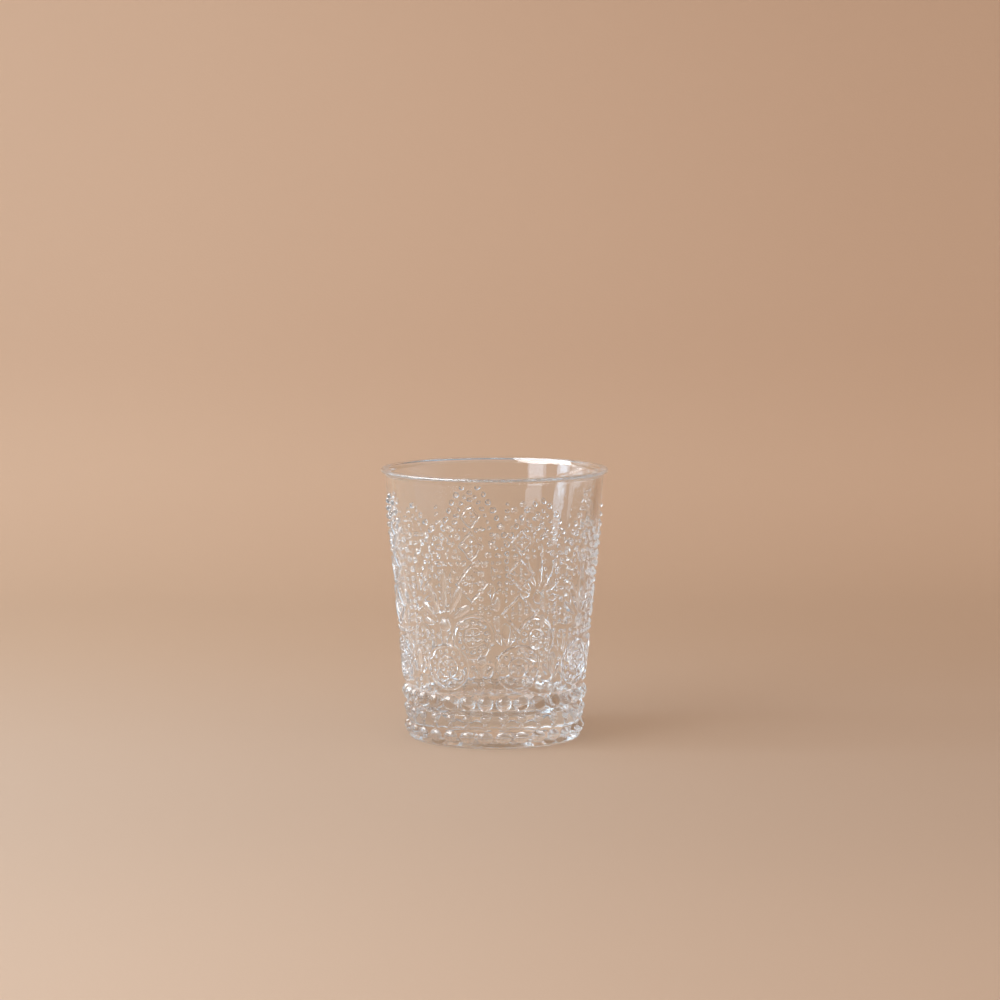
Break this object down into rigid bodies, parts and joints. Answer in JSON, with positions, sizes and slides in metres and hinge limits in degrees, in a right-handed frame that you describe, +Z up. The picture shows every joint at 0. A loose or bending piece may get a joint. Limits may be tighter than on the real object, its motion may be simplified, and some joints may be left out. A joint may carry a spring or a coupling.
{
  "type": "pressed glass tumbler",
  "caption": "Clear pressed glass tumbler with a rounded lip, tapered wall in beaded relief, thick floor and beaded foot, for drinking from.",
  "frame": {"origin": "centre of the resting ring under the foot, on the surface that the tumbler stands on", "axes": "+Z up along the axis of the glass, -Y towards the pictured side, +X to its right"},
  "size_m": [0.085, 0.085, 0.101],
  "materials": {
    "clear_glass": "fire-polished clear soda-lime glass"
  },
  "bodies": {
    "root": {"tumbler": "clear_glass"}
  },
  "joints": []
}
